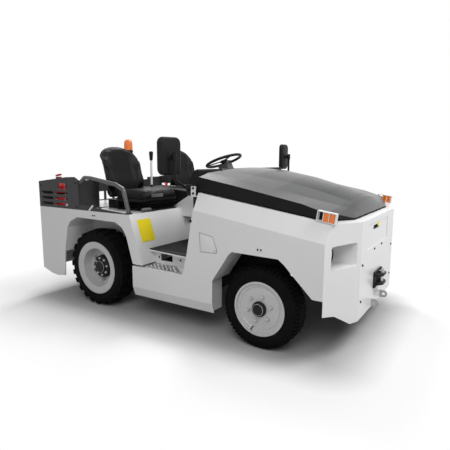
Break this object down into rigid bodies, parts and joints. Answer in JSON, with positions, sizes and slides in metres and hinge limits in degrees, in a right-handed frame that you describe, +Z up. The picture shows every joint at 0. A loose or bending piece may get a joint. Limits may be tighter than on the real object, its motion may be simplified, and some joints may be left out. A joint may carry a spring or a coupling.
{
  "type": "airport baggage tug",
  "caption": "Two seat airport baggage tug with a long grey hood, open cab, steered front wheels, tilting hood and tow jaws at both ends.",
  "frame": {"origin": "on the floor, midway between the tips of the two tow jaws", "axes": "+X forward, +Y to the driver's left, +Z up"},
  "size_m": [3.12, 2.208, 1.5503],
  "materials": {
    "body_white": "gloss",
    "hood_grey": "satin",
    "trim_black": "matte",
    "band_black": "matte",
    "seat_black": "matte",
    "tyre_black": "matte",
    "rim_grey": "satin",
    "frame_black": "satin",
    "rail_grey": "gloss",
    "mat_black": "matte",
    "step_metal": "satin",
    "steel": "brushed",
    "lamp_clear": "gloss",
    "lamp_amber": "gloss",
    "lamp_red": "gloss",
    "red_paint": "gloss"
  },
  "bodies": {
    "chassis": {"battery_pack": "frame_black", "beacon_lens": "lamp_amber", "beacon_pole": "trim_black", "cab_tub": "body_white", "chassis_frame": "frame_black", "console": "trim_black", "corner_guards": "body_white", "corner_lenses": "lamp_amber", "dash": "trim_black", "fire_extinguisher": "red_paint", "floor_mat": "mat_black", "front_axle": "frame_black", "front_springs": "frame_black", "front_tow": "frame_black", "grab_rails": "rail_grey", "hand_lever": "steel", "headlamps": "lamp_clear", "lashing_lugs": "frame_black", "mirrors": "trim_black", "nose": "body_white", "pedals": "trim_black", "rear_axle": "frame_black", "rear_body": "body_white", "rear_guard": "trim_black", "rear_hitch": "frame_black", "rear_housings": "trim_black", "seat_back_left": "seat_black", "seat_back_right": "seat_black", "seat_cushion_left": "seat_black", "seat_cushion_right": "seat_black", "seat_suspensions": "trim_black", "side_panels": "body_white", "sills": "body_white", "steering_column": "trim_black", "step_treads": "step_metal", "tail_lamps": "lamp_red"},
    "knuckle_left": {"knuckle_left": "frame_black"},
    "knuckle_right": {"knuckle_right": "frame_black"},
    "tie_rod": {"tie_rod": "frame_black"},
    "wheel_front_left": {"tyre_front_left": "tyre_black", "wheel_front_left": "rim_grey"},
    "wheel_front_right": {"tyre_front_right": "tyre_black", "wheel_front_right": "rim_grey"},
    "wheel_rear_left": {"tyre_rear_left": "tyre_black", "wheel_rear_left": "rim_grey"},
    "wheel_rear_right": {"tyre_rear_right": "tyre_black", "wheel_rear_right": "rim_grey"},
    "hood": {"hood_shell": "hood_grey", "hood_band": "band_black"},
    "steering_wheel": {"steering_wheel": "trim_black"},
    "front_pin": {"front_pin": "steel"},
    "rear_pin": {"rear_pin": "steel"}
  },
  "joints": [
    {"name": "steer_left", "type": "hinge", "parent": "chassis", "child": "knuckle_left", "pos_m": [0.897, 0.6, 0.296], "axis": [0, 0, 1], "range_deg": [-32, 32]},
    {"name": "steer_right", "type": "hinge", "parent": "chassis", "child": "knuckle_right", "pos_m": [0.897, -0.6, 0.296], "axis": [0, 0, 1], "range_deg": [-32, 32]},
    {"name": "tie_rod_pivot", "type": "hinge", "parent": "knuckle_right", "child": "tie_rod", "pos_m": [0.747, -0.6, 0.221], "axis": [0, 0, 1], "range_deg": [-32, 32]},
    {"name": "steering_wheel_turn", "type": "hinge", "parent": "chassis", "child": "steering_wheel", "pos_m": [-0.22, 0.443, 1.323], "axis": [-0.3584, 0, 0.9336], "range_deg": [-480, 480]},
    {"name": "spin_front_left", "type": "hinge", "parent": "knuckle_left", "child": "wheel_front_left", "pos_m": [0.897, 0.739, 0.296], "axis": [0, 1, 0], "continuous": true},
    {"name": "spin_front_right", "type": "hinge", "parent": "knuckle_right", "child": "wheel_front_right", "pos_m": [0.897, -0.739, 0.296], "axis": [0, 1, 0], "continuous": true},
    {"name": "spin_rear_left", "type": "hinge", "parent": "chassis", "child": "wheel_rear_left", "pos_m": [-0.784, 0.725, 0.353], "axis": [0, 1, 0], "continuous": true},
    {"name": "spin_rear_right", "type": "hinge", "parent": "chassis", "child": "wheel_rear_right", "pos_m": [-0.784, -0.725, 0.353], "axis": [0, 1, 0], "continuous": true},
    {"name": "hood_tilt", "type": "hinge", "parent": "chassis", "child": "hood", "pos_m": [0.33, 0, 1.248], "axis": [0, -1, 0], "range_deg": [0, 55]},
    {"name": "front_pin_lift", "type": "slide", "parent": "chassis", "child": "front_pin", "axis": [0, 0, 1], "range_m": [0, 0.07]},
    {"name": "rear_pin_lift", "type": "slide", "parent": "chassis", "child": "rear_pin", "axis": [0, 0, 1], "range_m": [0, 0.07]}
  ],
  "couplings": [
    {"joint": "steer_right", "follows": "steer_left", "ratio": 1},
    {"joint": "tie_rod_pivot", "follows": "steer_left", "ratio": -1},
    {"joint": "steering_wheel_turn", "follows": "steer_left", "ratio": 15}
  ]
}
